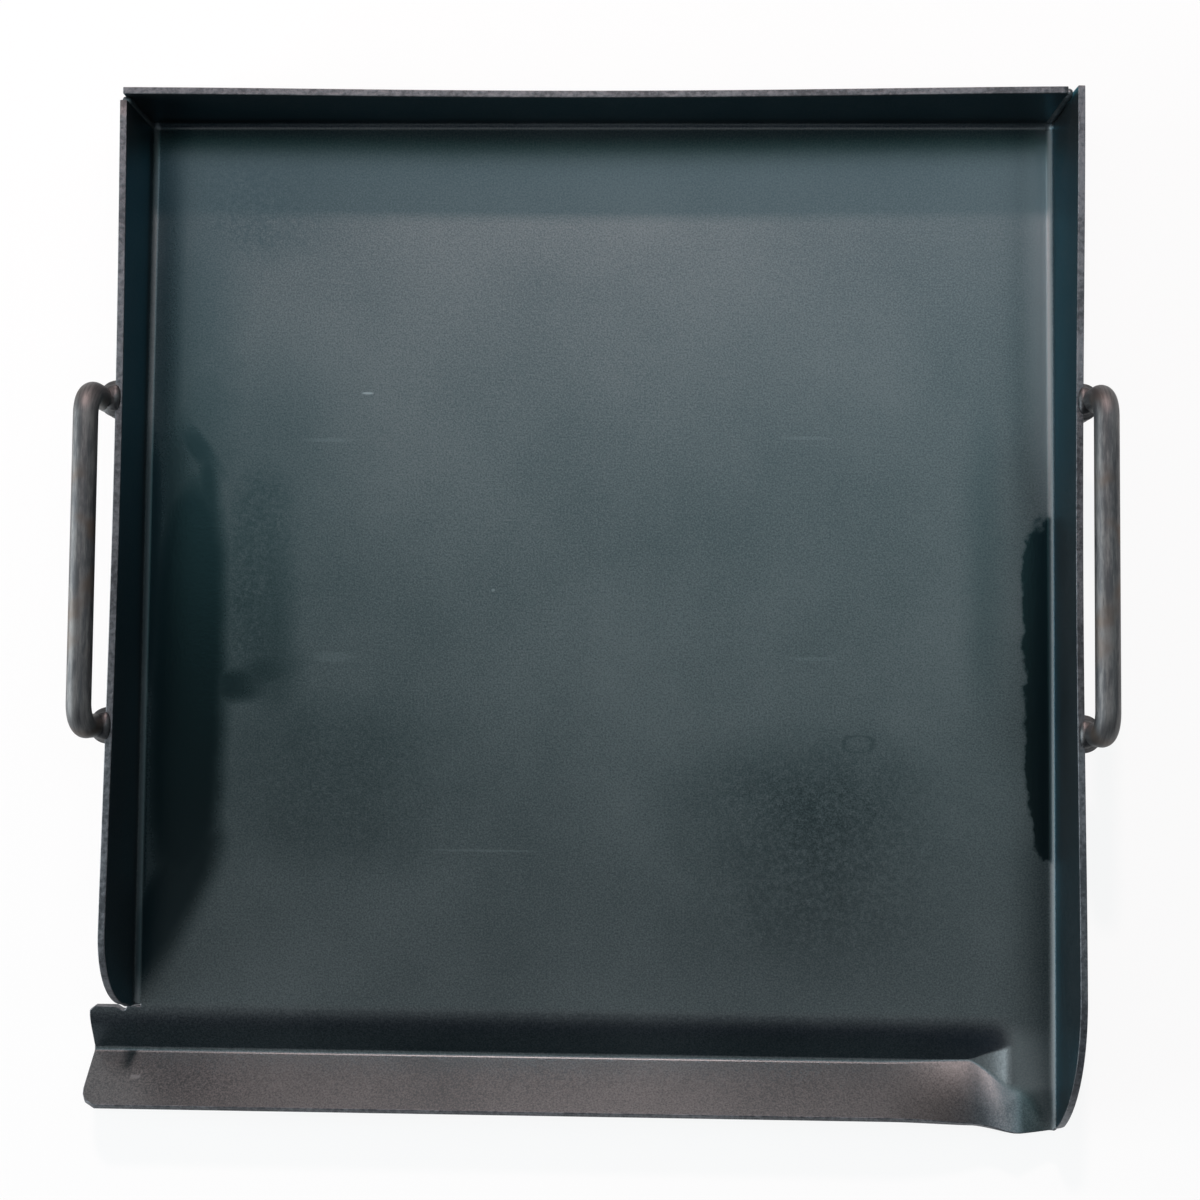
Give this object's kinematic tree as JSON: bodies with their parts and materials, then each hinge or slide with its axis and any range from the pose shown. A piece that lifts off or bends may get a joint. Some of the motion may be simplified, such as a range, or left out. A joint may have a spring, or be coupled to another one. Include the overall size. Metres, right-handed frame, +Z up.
{
  "type": "camp griddle plate",
  "caption": "Folded steel camp griddle with low walls at the sides and back, a front grease trough that drains to a side spout, and upright welded rod handles.",
  "frame": {"origin": "centre of the flat cooking plate's underside, midway between the side walls", "axes": "+X to the right along the trough, towards its closed end; +Y to the back wall; +Z up out of the pan"},
  "size_m": [0.4331, 0.4433, 0.0727],
  "materials": {
    "blued_sheet": "blued and oiled hot-rolled steel sheet, satin",
    "mill_scale_rod": "round bar with mill scale, satin",
    "weld_bead": "wire-brushed weld metal"
  },
  "bodies": {
    "root": {"griddle_plate": "blued_sheet", "left_handle": "mill_scale_rod", "right_handle": "mill_scale_rod", "left_rear_foot_weld": "weld_bead", "left_front_foot_weld": "weld_bead", "right_rear_foot_weld": "weld_bead", "right_front_foot_weld": "weld_bead", "back_left_corner_weld": "weld_bead", "back_right_corner_weld": "weld_bead"}
  },
  "joints": []
}
